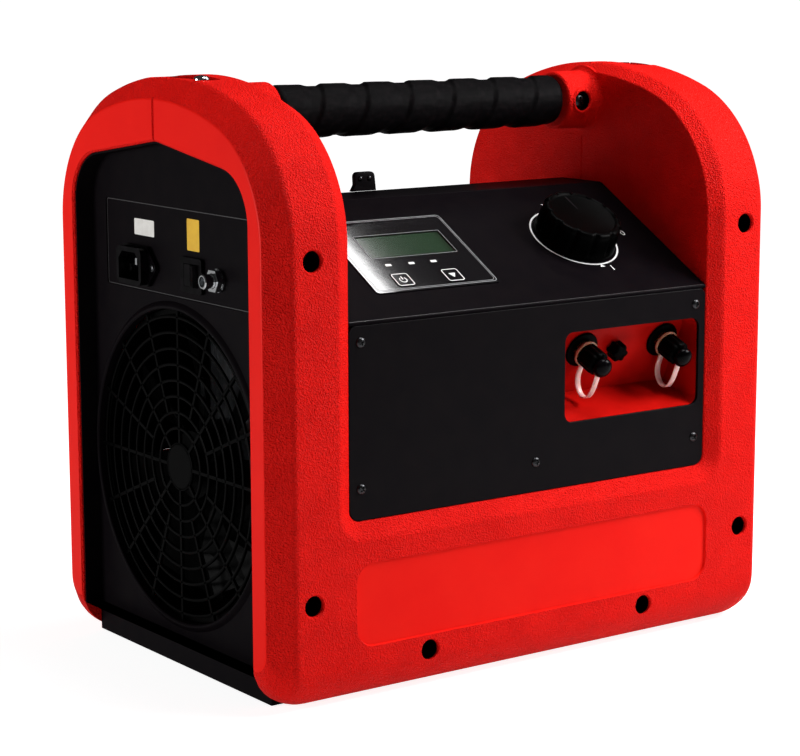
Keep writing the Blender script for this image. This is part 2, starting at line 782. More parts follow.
def screw_tree():
    """Domed cross-recessed heads on points that carry a facing and a spin."""
    tree, values = new_tree("Screw heads", Radius=0.003, Height=0.0012, Recess=0.0008, Depth=0.001)
    radius, height, recess = values["Radius"], values["Height"], values["Recess"]
    ball = out(tree, "GeometryNodeMeshUVSphere", Segments=28, Rings=14, Radius=1.0)
    size = out(tree, "ShaderNodeCombineXYZ", X=radius, Y=radius, Z=height)
    head = out(tree, "GeometryNodeTransform", Geometry=ball, Scale=size)
    reach = out(tree, "ShaderNodeMath", "MULTIPLY", radius, 1.15)
    deep = out(tree, "ShaderNodeMath", "MULTIPLY", values["Depth"], 2.0)
    recessed = add(tree, "GeometryNodeMeshBoolean", {"operation": "DIFFERENCE", "solver": "EXACT"},
                   head)
    lift = out(tree, "ShaderNodeCombineXYZ", Z=height)
    for x, y in ((reach, recess), (recess, reach)):
        bar = out(tree, "GeometryNodeMeshCube", Size=out(tree, "ShaderNodeCombineXYZ", X=x, Y=y, Z=deep))
        lifted = out(tree, "GeometryNodeTransform", Geometry=bar, Translation=lift)
        tree.links.new(lifted, recessed.inputs["Mesh 2"])
    facing = out(tree, "GeometryNodeInputNamedAttribute", {"data_type": "FLOAT_VECTOR"}, Name="facing")
    spin = out(tree, "GeometryNodeInputNamedAttribute", {"data_type": "FLOAT"}, Name="spin")
    aimed = out(tree, "FunctionNodeAlignRotationToVector", {"axis": "Z"}, Vector=facing)
    turn = out(tree, "FunctionNodeEulerToRotation", Euler=out(tree, "ShaderNodeCombineXYZ", Z=spin))
    both = out(tree, "FunctionNodeRotateRotation", {"rotation_space": "LOCAL"}, Rotation=aimed,
               Rotate_By=turn)
    heads = out(tree, "GeometryNodeInstanceOnPoints", Points=values["Geometry"],
                Instance=recessed.outputs[0], Rotation=both)
    return close_tree(tree, heads, values)


def screws(name, places, slot, **sizes):
    """Screw heads at places with the direction that each faces, every one turned further."""
    mesh = bpy.data.meshes.new(name)
    mesh.from_pydata([tuple(place) for place, _ in places], [], [])
    mesh.attributes.new("facing", "FLOAT_VECTOR", "POINT")
    mesh.attributes.new("spin", "FLOAT", "POINT")
    for i, (place, direction) in enumerate(places):
        mesh.attributes["facing"].data[i].vector = direction
        mesh.attributes["spin"].data[i].value = 0.35 + 1.1 * i
    finish(grown(name, screw_tree(), "blackened", mesh, **sizes), slot=slot)


def grille_tree():
    """Concentric rings on straight spokes round a hub disc, all in one flat layer."""
    tree, values = new_tree("Fan grille", Hub_Radius=0.014, Ring_Pitch=0.00975, Rings=9, Bar=0.002,
                            Depth=0.0018, Spokes=8, Outer_Radius=0.0968, Short_Start=0.0335)
    hub_radius, thick, depth = values["Hub Radius"], values["Bar"], values["Depth"]
    spots = out(tree, "GeometryNodeMeshLine", Count=values["Rings"], Offset=(0, 0, 0))
    index = out(tree, "GeometryNodeInputIndex")
    radius = out(tree, "ShaderNodeMath", "MULTIPLY_ADD", index, values["Ring Pitch"], hub_radius)
    ring = out(tree, "GeometryNodeCurvePrimitiveCircle", {"mode": "RADIUS"}, Resolution=96, Radius=1.0)
    spread = out(tree, "GeometryNodeInstanceOnPoints", Points=spots, Instance=ring, Scale=radius)
    rings = out(tree, "GeometryNodeRealizeInstances", Geometry=spread)
    section = out(tree, "GeometryNodeCurvePrimitiveQuadrilateral", Width=thick, Height=depth)
    soft = out(tree, "GeometryNodeFilletCurve", {"mode": "POLY"}, Curve=section, Count=2, Radius=0.0005)
    parts = [out(tree, "GeometryNodeCurveToMesh", Curve=rings, Profile_Curve=soft),
             out(tree, "GeometryNodeMeshCylinder", {"fill_type": "NGON"}, Vertices=64,
                 Radius=hub_radius, Depth=depth)]
    half_step = out(tree, "ShaderNodeMath", "DIVIDE", pi, values["Spokes"])
    for start, stagger in ((hub_radius, 0.0), (values["Short Start"], 1.0)):
        length = out(tree, "ShaderNodeMath", "SUBTRACT", values["Outer Radius"], start)
        size = out(tree, "ShaderNodeCombineXYZ", X=length, Y=thick, Z=depth)
        bar = out(tree, "GeometryNodeMeshCube", Size=size)
        middle = out(tree, "ShaderNodeMath", "MULTIPLY_ADD", length, 0.5, start)
        shift = out(tree, "ShaderNodeCombineXYZ", X=middle)
        spoke = out(tree, "GeometryNodeTransform", Geometry=bar, Translation=shift)
        line = out(tree, "GeometryNodeMeshLine", Count=values["Spokes"], Offset=(0, 0, 0))
        whole = out(tree, "ShaderNodeMath", "MULTIPLY", index, half_step)
        offset = out(tree, "ShaderNodeMath", "MULTIPLY", half_step, stagger)
        angle = out(tree, "ShaderNodeMath", "MULTIPLY_ADD", whole, 2.0, offset)
        parts.append(out(tree, "GeometryNodeInstanceOnPoints", Points=line, Instance=spoke,
                         Rotation=out(tree, "ShaderNodeCombineXYZ", Z=angle)))
    both = add(tree, "GeometryNodeJoinGeometry")
    for part in parts:
        tree.links.new(part, both.inputs[0])
    return close_tree(tree, both.outputs[0], values)


def wrap_tree():
    """A tube that steps up where the tape laps over itself and falls to a single layer."""
    tree, values = new_tree("Wrapped grip", Length=0.223, Radius=0.017, Pitch=0.0223, Step=0.0012,
                            End_Round=0.004)
    tube = out(tree, "GeometryNodeMeshCylinder", {"fill_type": "NGON"}, Vertices=88, Radius=1.0,
               Side_Segments=330, Depth=values["Length"])
    spot = out(tree, "GeometryNodeInputPosition")
    x, y, z = add(tree, "ShaderNodeSeparateXYZ", Vector=spot).outputs
    turns = out(tree, "ShaderNodeMath", "DIVIDE", z, values["Pitch"])
    bearing = out(tree, "ShaderNodeMath", "ARCTAN2", y, x)
    share = out(tree, "ShaderNodeMath", "MULTIPLY_ADD", bearing, 1 / (2 * pi), turns)
    phase = out(tree, "ShaderNodeMath", "FRACT", share)
    up, down = [out(tree, "ShaderNodeMapRange", {"interpolation_type": "SMOOTHSTEP"}, Value=phase,
                    _1=start, _2=end) for start, end in ((0.0, 0.09), (0.58, 0.80))]
    double = out(tree, "ShaderNodeMath", "SUBTRACT", up, down)
    single = out(tree, "ShaderNodeMath", "SUBTRACT", double, 1.0)
    fall = out(tree, "ShaderNodeMath", "MULTIPLY_ADD", phase, -0.25, single)
    swell = out(tree, "ShaderNodeMath", "MULTIPLY_ADD", fall, values["Step"], values["Radius"])
    folds = out(tree, "ShaderNodeTexNoise", Scale=55.0, Detail=2.0)
    folded = out(tree, "ShaderNodeMath", "MULTIPLY_ADD", folds, 0.0007, swell)
    level = out(tree, "ShaderNodeMath", "SUBTRACT", folded, 0.0006)
    # Both ends are rounded over: past goes from 0 where the round starts to 1 at the end
    half = out(tree, "ShaderNodeMath", "MULTIPLY", values["Length"], 0.5)
    middle_off = out(tree, "ShaderNodeMath", "ABSOLUTE", z)
    room = out(tree, "ShaderNodeMath", "SUBTRACT", half, middle_off)
    part = out(tree, "ShaderNodeMath", "DIVIDE", room, values["End Round"])
    into = out(tree, "ShaderNodeMath", "SUBTRACT", 1.0, part)
    past = out(tree, "ShaderNodeMath", "MAXIMUM", into, 0.0)
    square = out(tree, "ShaderNodeMath", "MULTIPLY", past, past)
    left = out(tree, "ShaderNodeMath", "SUBTRACT", 1.0, square)
    root = out(tree, "ShaderNodeMath", "SQRT", left)
    drop = out(tree, "ShaderNodeMath", "SUBTRACT", 1.0, root)
    inward = out(tree, "ShaderNodeMath", "MULTIPLY", values["End Round"], -1.0)
    final = out(tree, "ShaderNodeMath", "MULTIPLY_ADD", drop, inward, level)
    across, up_down = [out(tree, "ShaderNodeMath", "MULTIPLY", side, final) for side in (x, y)]
    place = out(tree, "ShaderNodeCombineXYZ", X=across, Y=up_down, Z=z)
    taped = out(tree, "GeometryNodeSetPosition", Geometry=tube, Position=place)
    return close_tree(tree, taped, values)


def plates_tree():
    """A row of like thin plates along Y."""
    tree, values = new_tree("Row of plates", Count=40, Pitch=0.002, Size=(0.0004, 0.1, 0.1))
    step = out(tree, "ShaderNodeCombineXYZ", Y=values["Pitch"])
    row = out(tree, "GeometryNodeMeshLine", Count=values["Count"], Offset=step)
    plate = out(tree, "GeometryNodeMeshCube", Size=values["Size"])
    plates = out(tree, "GeometryNodeInstanceOnPoints", Points=row, Instance=plate)
    return close_tree(tree, plates, values)


# Settings that a user would change

def length(name, description, default):
    return bpy.props.FloatProperty(name=name, description=description, default=default,
                                   subtype="DISTANCE", unit="LENGTH")


def power(name, description, default):
    return bpy.props.FloatProperty(name=name, description=description, default=default,
                                   subtype="POWER", unit="POWER")


def colour(name, description, default):
    return bpy.props.StringProperty(name=name, description=description, default=default, maxlen=7)


class RECOVERY_PG_sizes(bpy.types.PropertyGroup):
    """Sizes of the dressed pieces."""
    rim_chamfer: length("Rim chamfer", "Band round each outer rim", 0.013)
    lip_width: length("Lip width", "Smooth band round the window", 0.010)
    lip_depth: length("Lip depth", "Fall of that band", 0.006)
    window_corner: length("Window corner", "Lower window corners", 0.007)
    badge_depth: length("Badge depth", "Bare recess on the beam", 0.0015)
    bolt_hole: length("Bolt hole radius", "Counterbored holes", 0.0062)
    wrap_pitch: length("Tape pitch", "One turn of the grip tape", 0.0336)
    wrap_step: length("Tape step", "Dip at the edge of the tape", 0.0011)
    knob_radius: length("Knob radius", "Selector knob", 0.027)
    knob_height: length("Knob height", "Selector knob", 0.019)
    dial_radius: length("Dial arc radius", "Printed arc at the knob", 0.0293)
    grille_opening: length("Grille opening", "Radius of the opening", 0.0968)
    grille_pitch: length("Ring pitch", "Step between grille rings", 0.00975)
    grille_rings: bpy.props.IntProperty(name="Rings", description="Rings of the grille, hub edge too",
                                        default=9, min=2, max=20)
    grille_spokes: bpy.props.IntProperty(name="Spokes", description="Long spokes of the grille",
                                         default=8, min=3, max=24)


class RECOVERY_PG_colours(bpy.types.PropertyGroup):
    """Colours of the finishes, as sRGB hex."""
    red: colour("Red", "Case, main tone", "#EA140D")
    red_deep: colour("Deep red", "Case, darker patches", "#DC0F09")
    recess: colour("Recess", "Port recess", "#BE0E08")
    recess_deep: colour("Deep recess", "Port recess, darker patches", "#AC0B06")
    red_bright: colour("Bright red", "Smooth bands", "#F01C12")
    black: colour("Black", "Sheet and panels", "#0A070A")
    black_worn: colour("Worn black", "Rubbed patches of the black", "#0F0B0D")
    black_deep: colour("Deep black", "Knobs and sockets", "#020202")
    grip: colour("Grip", "Wrapped tape", "#050405")
    film: colour("Film", "Printed overlay", "#100E10")
    display: colour("Display", "Unlit liquid crystal", "#213423")
    display_edge: colour("Display edge", "Darker ends of the display", "#1B261A")
    tether: colour("Cap strap", "Milky soft vinyl", "#F0ACA6")
    strap_eye: colour("Strap eye", "Milky vinyl with the brass behind it", "#A9785C")
    print_white: colour("White print", "Marks on the control face", "#E8E8E8")
    print_grey: colour("Grey print", "Borders on the film", "#8E9092")
    paper: colour("Studio paper", "Floor of the studio", "#CCCCCC")


class RECOVERY_PG_studio(bpy.types.PropertyGroup):
    """Light of the studio."""
    key: power("Key light", "Soft light at the front right", 11.4)
    side: power("Side light", "Low light from the rear left", 10.0)
    top: power("Top light", "Soft light above the machine", 14.0)
    glare: power("Glare light", "Strip seen in the printed film", 0.52)
    glow: bpy.props.FloatProperty(name="Paper glow", description="Light that the lit paper gives",
                                  default=0.25, min=0.0, max=2.0)
    world: bpy.props.FloatProperty(name="Surround", description="Light from the white surround",
                                   default=0.04, min=0.0, max=5.0)


# The red halves

OVERLAP = 0.002               # a half reaches past the seam until its last cut


def arch_half(inset, lift):
    """The front half of the case in the YZ plane, a little past the seam."""
    top_radius = ROOF_RADIUS - inset
    foot_radius = FOOT_RADIUS - inset
    start = pi / 2 + asin(-OVERLAP / top_radius)
    points = arc(ROOF_CENTRE, top_radius, start, SHOULDER_START, 24)
    points += arc(SHOULDER_CENTRE, SHOULDER_RADIUS - inset, SHOULDER_START, pi, 28)[1:]
    points += arc((FRONT + FOOT_RADIUS, lift + foot_radius), foot_radius, pi, 1.5 * pi, 12)
    return [*points, (OVERLAP, lift)]


def tunnel_outline(margin=0.0, bottom=-0.004):
    """The end opening in the YZ plane, drawn in by margin."""
    side = DEPTH / 2 - LEG_DEPTH - margin
    peak = TUNNEL_PEAK - margin * sqrt(1 + TUNNEL_FALL ** 2)
    shoulder = peak - TUNNEL_FALL * side
    radius = TUNNEL_RADIUS - margin
    return rounded([(-side, bottom, 0), (side, bottom, 0), (side, shoulder, radius),
                    (0, peak, 0.02), (-side, shoulder, radius)], 12)


def divided(line, longest):
    """Add points to a line so that no step along its first value is too long."""
    points = [line[0]]
    for start, end in zip(line, line[1:]):
        steps = max(1, round(abs(end[0] - start[0]) / longest))
        for k in range(1, steps + 1):
            points.append(tuple(a + (b - a) * k / steps for a, b in zip(start, end)))
    return points


def slab(name, sizes):
    """Front half of the case before its openings, lofted from rim to rounded rim."""
    rim = WIDTH / 2
    bend = rim - SIDE_FOOT_RADIUS
    chamfer = sizes.rim_chamfer
    line = rounded([(bend, 0.0, 0), (rim - chamfer, 0.0, 0.006), (rim, chamfer, 0.003),
                    (rim, chamfer + 0.006, 0)], 5, closed=False)[:-1]
    sections = []
    for x, inset in divided(line, 0.003):
        reach = max(0.0, x - bend)
        lift = SIDE_FOOT_RADIUS - sqrt(max(0.0, SIDE_FOOT_RADIUS ** 2 - reach ** 2))
        sections.append((x, arch_half(inset, lift)))
    mirrored = [(-x, points) for x, points in reversed(sections)]
    return loft(name, mirrored + sections, ALONG_X)


def window_cutter(sizes):
    """The space between the cheeks, its lower corners rounded."""
    corner = sizes.window_corner
    outline = rounded([(-INNER_WALL, BEAM_TOP, corner), (INNER_WALL, BEAM_TOP, corner),
                       (INNER_WALL, ROOF_TOP + 0.02, 0), (-INNER_WALL, ROOF_TOP + 0.02, 0)], 12)
    return prism("window_cutter", outline, -0.02, DEPTH / 2 + 0.02, ALONG_Y)


def lip_cutter(sizes):
    """Carries the soft band's section round the window and over both arches."""
    width, fall = sizes.lip_width, sizes.lip_depth
    line = rounded([(-0.0003, -fall - 0.004, 0), (0.0, -fall, 0.0016), (width, 0.0, 0.010),
                    (width + 0.005, 0.0004, 0)], 5, closed=False)
    section = [*line, (width + 0.005, 0.005), (-0.003, 0.005), (-0.003, -fall - 0.004)]
    corner = sizes.window_corner
    half = []
    for place, radius, start, end in ((ROOF_CENTRE, ROOF_RADIUS, pi / 2 - 0.01, SHOULDER_START),
                                      (SHOULDER_CENTRE, SHOULDER_RADIUS, SHOULDER_START, pi)):
        centre = Vector(place)
        for y, z in arc(centre, radius, start, end, 28):
            normal = (Vector((y, z)) - centre) / radius
            half.append((Vector((INNER_WALL, y, z)), Vector((1, 0, 0)), Vector((0, *normal))))
    for x, z in arc((INNER_WALL - corner, BEAM_TOP + corner), corner, 0.0, -pi / 2, 12):
        side = Vector((x - INNER_WALL + corner, 0, z - BEAM_TOP - corner)) / corner
        half.append((Vector((x, FRONT, z)), side, Vector((0, -1, 0))))
    flip = Vector((-1, 1, 1))
    other = [(place * flip, side * flip, up * flip) for place, side, up in reversed(half)]
    stations = [half[0]]
    for item in half[1:] + other:
        if (item[0] - stations[-1][0]).length > WELD:
            stations.append(item)
    return sweep("lip_cutter", stations, section)


def drill(name, radius, depth, start, place, rim=0.0008):
    """A countersunk hole cutter along local Z, whose surface is at start."""
    over = 0.002
    profile = [(0, start + over), (radius + rim + over, start + over), (radius, start - rim),
               (radius, start - depth), (0, start - depth)]
    return turned(name, profile, place, 40)


def boss(name, side):
    """Sleeve that holds the handle, with a fillet where it meets the cheek."""
    fillet, edge, pad = 0.0035, 0.002, 0.0006
    end = INNER_WALL - BOSS_LENGTH
    bow = [(BOSS_RADIUS + fillet - r, h) for h, r in
           arc((INNER_WALL - fillet, 0.0), fillet, 0.0, pi / 2, 6)]
    nose = [(BOSS_RADIUS - edge + u, end + edge - v) for u, v in arc((0, 0), edge, 0.0, pi / 2, 4)]
    profile = [(0, INNER_WALL + 0.002), (BOSS_RADIUS + fillet, INNER_WALL + 0.002), *bow, *nose, (0, end)]
    place = Matrix.Translation((0, 0, HANDLE_Z)) @ ALONG_X
    if side < 0:
        place = HALF_TURN @ place
    sleeve = turned(name, profile, place, 96)
    rim_pad = turned(name + "_pad", [(0, BOSS_RADIUS + pad), (0.0076, BOSS_RADIUS + pad),
                                     (0.0082, BOSS_RADIUS + pad - 0.0005), (0.0082, 0.012), (0, 0.012)],
                     facing_front(side * BOSS_HOLE_X, HANDLE_Z), 48)
    return join(sleeve, rim_pad)


def half_shell(name, sizes, with_badge):
    """One moulded half, built as the front one."""
    shell = cut(slab(name, sizes), window_cutter(sizes))
    rim = WIDTH / 2
    for side in (1, -1):
        flare = [(side * (INNER_WALL + WEB), tunnel_outline()), (side * (rim - 0.0012), tunnel_outline()),
                 (side * (rim + 0.0008), tunnel_outline(-0.0020))]
        shell = cut(shell, loft(name + "_tunnel", flare, ALONG_X))
    inner = INNER_WALL + WEB + 0.001
    leg = DEPTH / 2 - LEG_DEPTH + GAP
    shell = cut(shell, block(name + "_room", (-inner, -leg, -0.01), (inner, leg, PLATE_HIGH[2] - 0.008)))
    shell = cut(shell, lip_cutter(sizes))
    groove = 0.0018
    vee = [(-groove, ROOF_TOP + 0.001), (groove, ROOF_TOP + 0.001), (0, ROOF_TOP - 0.0028)]
    shell = cut(shell, prism(name + "_seam", vee, -WIDTH, WIDTH, ALONG_X))
    for side in (1, -1):
        wall = [(side * (INNER_WALL - 0.0004), -0.0011), (side * (INNER_WALL - 0.0004), 0.0011),
                (side * (INNER_WALL + 0.0007), 0.0)]
        shell = cut(shell, prism(name + "_wall_seam", wall, 0.2, HANDLE_Z - BOSS_RADIUS - 0.006))
        face = [(side * (rim + 0.0008), -0.0019), (side * (rim + 0.0008), 0.0019),
                (side * (rim - 0.0016), 0.0)]
        shell = cut(shell, prism(name + "_rim_seam", face, TUNNEL_PEAK - 0.004, ROOF_TOP + 0.002))
    shell = join(shell, boss(name + "_boss_r", 1), boss(name + "_boss_l", -1))
    bore = TUBE_HIGH[1] + GAP
    reach = TUBE_HIGH[0] + GAP
    place = Matrix.Translation((0, 0, HANDLE_Z)) @ ALONG_X
    shell = cut(shell, turned(name + "_bore", [(0, reach), (bore, reach), (bore, -reach), (0, -reach)],
                              place, 64))
    tools = []
    for side in (1, -1):
        pocket = rectangle(side * POCKET_X - 0.0095, side * POCKET_X + 0.0095, -0.028, 0.028, 0.0025)
        tools.append(prism(name + "_pocket", pocket, ROOF_TOP - 0.0024, ROOF_TOP + 0.01))
        for x, z in BOLT_PLACES:
            tools.append(drill(name + "_bolt", sizes.bolt_hole, 0.016, DEPTH / 2, facing_front(side * x, z)))
        tools.append(drill(name + "_boss_hole", 0.0064, 0.0065, BOSS_RADIUS + 0.0006,
                           facing_front(side * BOSS_HOLE_X, HANDLE_Z), 0.0004))
    shell = cut(shell, *tools)
    if with_badge:
        slope = 0.0005
        floor = DEPTH / 2 - sizes.badge_depth
        low = rectangle(*BADGE, 0.012, 10)
        high = widened(BADGE[:2], BADGE[2:], 2 * slope, 0.012 + 2 * slope, 10)
        shell = cut(shell, loft(name + "_badge", [(floor, low), (floor + 2 * sizes.badge_depth, high)],
                                ALONG_Y))
    return cut(shell, block(name + "_other_half", (-0.3, -SEAM / 2, -0.1), (0.3, 0.3, 0.5)))


def smooth_bands(shell):
    """Second material on the badge recess and the rim face, the first elsewhere."""
    rim = WIDTH / 2
    right, low, high = BADGE[1:]
    over = 0.002
    for face in shell.data.polygons:
        x, y, z = face.center
        depth = DEPTH / 2 - abs(y)
        on_badge = abs(x) < right + over and low - over < z < high + over and 0.0003 < depth < 0.002
        face.material_index = int(on_badge or abs(x) > rim - 0.0004)


class RECOVERY_OT_shells(bpy.types.Operator):
    """Two moulded red halves with their soft bands, holes and bare badge recess"""
    bl_idname = "recovery.shells"
    bl_label = "Red halves"

    def execute(self, context):
        sizes = context.scene.recovery_sizes
        for name, with_badge, turn in (("front_half", True, None), ("rear_half", False, HALF_TURN)):
            shell = half_shell(name, sizes, with_badge)
            if turn:
                shell.data.transform(turn)
            shell = evened(shell, 38)
            smooth_bands(shell)
            finish(shell, "red_pebbled", "red_smooth", sharp=38,
                   slot="red_moulded", replaces=name.replace("half", "shell"))
        return {"FINISHED"}


# Handle

class RECOVERY_OT_handle(bpy.types.Operator):
    """Taped grip on the handle tube, and the strap stud on the left arch"""
    bl_idname = "recovery.handle"
    bl_label = "Handle"

    def execute(self, context):
        sizes = context.scene.recovery_sizes
        grip = grown("taped_grip", wrap_tree(), "grip", Length=GRIP_HIGH[0] - GRIP_LOW[0],
                     Radius=GRIP_HIGH[1], Pitch=sizes.wrap_pitch, Step=sizes.wrap_step, End_Round=0.005)
        grip.data.transform(Matrix.Translation((0, 0, HANDLE_Z)) @ ALONG_X)
        finish(grip, "grip", sharp=50, slot="wrapped_grip", replaces="handle_grip")
        low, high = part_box("strap_stud")
        radius = (high[0] - low[0]) / 2
        place = Matrix.Translation(((low[0] + high[0]) / 2, (low[1] + high[1]) / 2, low[2]))
        dome = [(0.0, high[2] - low[2])] + [(radius * sin(a), 0.0009 + 0.0021 * cos(a))
                                            for a in [pi * k / 24 for k in range(2, 13)]]
        stud = turned("strap_button", [*dome, (radius, 0.0), (0.0, 0.0)], place, 48)
        finish(stud, "chrome", slot="chromed_steel", replaces="strap_stud")
        dress("zinc", "handle_tube")
        return {"FINISHED"}


# Control cover and plates

def cover_outline():
    """Section of the bent sheet, its bends rounded."""
    crest = -PLATE_FACE + (RIDGE_TOP - COVER_NOSE) / tan(SLOPE)
    seat = COVER_LOW[1] + 0.0023
    wall = COVER_WALL
    top = PLATE_HIGH[2] + GAP
    low = COVER_LOW[2]
    outer = [(seat, low, 0), (seat, top, 0), (-PLATE_FACE, top, 0.0003), (-PLATE_FACE, COVER_NOSE, 0.0012),
             (crest, RIDGE_TOP, 0.006)]
    inner_crest = crest + wall * tan(SLOPE / 2)
    inner_y = seat + wall
    nose_z = COVER_NOSE + (inner_y + PLATE_FACE) * tan(SLOPE) - wall / cos(SLOPE)
    inner = [(inner_crest, RIDGE_TOP - wall, 0.003), (inner_y, nose_z, 0.0015), (inner_y, low, 0)]
    mirrored_outer = [(-y, z, r) for y, z, r in reversed(outer)]
    mirrored_inner = [(-y, z, r) for y, z, r in reversed(inner)]
    return rounded(outer + mirrored_outer + mirrored_inner + inner, 5), crest


class RECOVERY_OT_cover(bpy.types.Operator):
    """Bent control cover with its openings and crease, and the riveted rear tab"""
    bl_idname = "recovery.cover"
    bl_label = "Control cover"

    def execute(self, context):
        outline, crest = cover_outline()
        half = INNER_WALL - GAP
        cover = prism("bent_cover", outline, -half, half, ALONG_X)
        slope = slope_frame()
        pocket = rectangle(*MEMBRANE_X, *MEMBRANE_S, 0.003)
        tools = [prism("membrane_pocket", pocket, -0.0012, 0.01, slope),
                 prism("display_window", widened(DISPLAY_X, DISPLAY_S, GAP), -0.02, 0.01, slope)]
        for x, s in KEY_PLACES.values():
            hole = widened((x, x), (s, s), KEY_SIZE / 2 + RUN, 0.002)
            tools.append(prism("key_hole", hole, -0.02, 0.01, slope))
        at_knob = slope @ Matrix.Translation((KNOB_X, KNOB_S, 0))
        stem = [(0, 0.01), (0.0046, 0.01), (0.0046, -0.02), (0, -0.02)]
        tools.append(turned("stem_hole", stem, at_knob, 40))
        for side in (-1, 1):
            edge = side * -crest
            groove = [(edge - 0.0008, RIDGE_TOP + 0.0003), (edge + 0.0008, RIDGE_TOP + 0.0003),
                      (edge, RIDGE_TOP - 0.0009)]
            tools.append(prism("crease", groove, -0.2, 0.2, ALONG_X))
        cover = evened(cut(cover, *tools), 30)
        finish(cover, "black_cover", sharp=30, slot="black_moulded", replaces="control_cover")
        line = rectangle(-half + 0.001, half - 0.001, 0.0005, 0.0010)
        nose = prism("nose_edge", line, 0.0, 0.00005, slope)
        finish(nose, "rubbed", slot="black_moulded")
        low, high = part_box("rear_tab")
        tab = rounded([(low[0], low[2], 0), (high[0], low[2], 0), (high[0] - 0.0015, high[2], 0.003),
                       (low[0] + 0.002, high[2], 0.003), (low[0] + 0.0025, low[2] + 0.004, 0.002)], 6)
        tab_piece = prism("pressed_tab", tab, -high[1], -low[1], ALONG_Y, 0.0004)
        finish(tab_piece, "black_sheet", slot="black_moulded", replaces="rear_tab")
        rivets = [((x, low[1], high[2] - 0.0042), (0, -1, 0)) for x in (low[0] + 0.0065, high[0] - 0.0055)]
        screws("tab_rivets", rivets, "zinc_plated_steel", Radius=0.0017, Height=0.0008, Recess=0.0004,
               Depth=0.0003)
        return {"FINISHED"}


class RECOVERY_OT_plates(bpy.types.Operator):
    """Front and rear plates with rounded corners and their cross-head screws"""
    bl_idname = "recovery.plates"
    bl_label = "Plates"

    def execute(self, context):
        half = INNER_WALL - GAP
        low, high = PLATE_LOW[2], PLATE_HIGH[2]
        corner = context.scene.recovery_sizes.window_corner + 0.0003
        outline = rounded([(-half, low, corner), (half, low, corner), (half, high, 0.0045),
                           (-half, high, 0.0045)], 8)
        opening = rectangle(*TRAY_X, *TRAY_Z, 0.006)
        face = (PLATE_FACE - 0.002, PLATE_FACE)
        for side, loops, low, high in (("front", [outline, opening], *face),
                                       ("rear", [outline], -face[1], -face[0])):
            sheet = prism(side + "_sheet", loops, low, high, ALONG_Y, 0.00035)
            finish(evened(sheet), "black_sheet", slot="black_painted_steel", replaces=side + "_plate")
        places = [((x, side * PLATE_FACE, z), (0, side, 0)) for side in (-1, 1) for x, z in PLATE_SCREWS]
        screws("plate_screws", places, "black_painted_steel", Radius=0.0031, Height=0.0015,
               Recess=0.0010, Depth=0.0011)
        return {"FINISHED"}


# Membrane panel

def ink(level):
    """Low and high of a print on a surface at this level."""
    return level - 0.0001, level + 0.00006


def outline_strip(name, u_span, v_span, margin, radius, width, low, high, place):
    """A thin printed border round two spans, margin outside them."""
    outer = widened(u_span, v_span, margin, radius)
    inner = widened(u_span, v_span, margin - width, radius - width)
    return prism(name, [outer, inner], low, high, place)


def merged(name, pieces):
    """Join loose solids into one object without changing them."""
    bm = bmesh.new()
    for piece in pieces:
        bm.from_mesh(piece.data)
        bpy.data.objects.remove(piece, do_unlink=True)
    mesh = bpy.data.meshes.new(name)
    bm.to_mesh(mesh)
    bm.free()
    return linked(name, mesh)


class RECOVERY_OT_membrane(bpy.types.Operator):
    """Printed overlay with its borders, the display, the lamps and the two keys"""
    bl_idname = "recovery.membrane"
    bl_label = "Membrane panel"

    def execute(self, context):
        slope = slope_frame()
        top = 0.0008
        outline = widened(MEMBRANE_X, MEMBRANE_S, -GAP, 0.0027)
        holes = [widened(DISPLAY_X, DISPLAY_S, GAP)]
        for x, s in KEY_PLACES.values():
            holes.append(widened((x, x), (s, s), KEY_SIZE / 2 + GAP, 0.0016, 4))
        film = prism("printed_overlay", [outline, *holes], -0.0009, top, slope, 0.0001, 1)
        finish(film, "film", sharp=10, slot="printed_film", replaces="membrane_panel")
        borders = [outline_strip(name, *spans, margin, radius, width, *ink(top), slope)
                   for name, spans, margin, radius, width in (
                       ("outer_border", (MEMBRANE_X, MEMBRANE_S), -0.0014, 0.0030, 0.00045),
                       ("inner_border", (MEMBRANE_X, MEMBRANE_S), -0.0026, 0.0030, 0.0003),
                       ("display_border", (DISPLAY_X, DISPLAY_S), 0.0012, 0.0008, 0.0003))]
        finish(merged("overlay_borders", borders), "grey_ink", slot="printed_film")
        lamps = [prism("lamp", rectangle(x - 0.0021, x + 0.0021, 0.0481, 0.0501, 0.0004), *ink(top), slope)
                 for x in (-0.0800, -0.0630, -0.0465)]
        finish(merged("lamp_windows", lamps), "lamp", slot="printed_film")
        dress("display", "display_module")
        dress("film", "power_key", "step_key")
        dress("board", "control_board")
        key_ink = ink(KEY_PROUD)
        for key, (x, s) in KEY_PLACES.items():
            marks = [outline_strip(key + "_rim", (x, x), (s, s), KEY_SIZE / 2 - 0.0004, 0.0018, 0.0006,
                                   *key_ink, slope)]
            if key == "power":
                bow = arc((x, s - 0.0003), 0.0027, radians(130), radians(410), 24)
                back = arc((x, s - 0.0003), 0.0020, radians(410), radians(130), 24)
                marks.append(prism("power_bow", bow + back, *key_ink, slope))
                bar = rectangle(x - 0.0004, x + 0.0004, s, s + 0.0031)
                marks.append(prism("power_bar", bar, *key_ink, slope))
            else:
                wedge = rounded([(x - 0.0026, s + 0.0017, 0.0002), (x, s - 0.0025, 0.0002),
                                 (x + 0.0026, s + 0.0017, 0.0002)], 3)
                marks.append(prism("step_wedge", wedge, *key_ink, slope))
            finish(merged(key + "_key_print", marks), "white_ink", body=key + "_button",
                   slot="printed_film")
        return {"FINISHED"}


# Selector knob

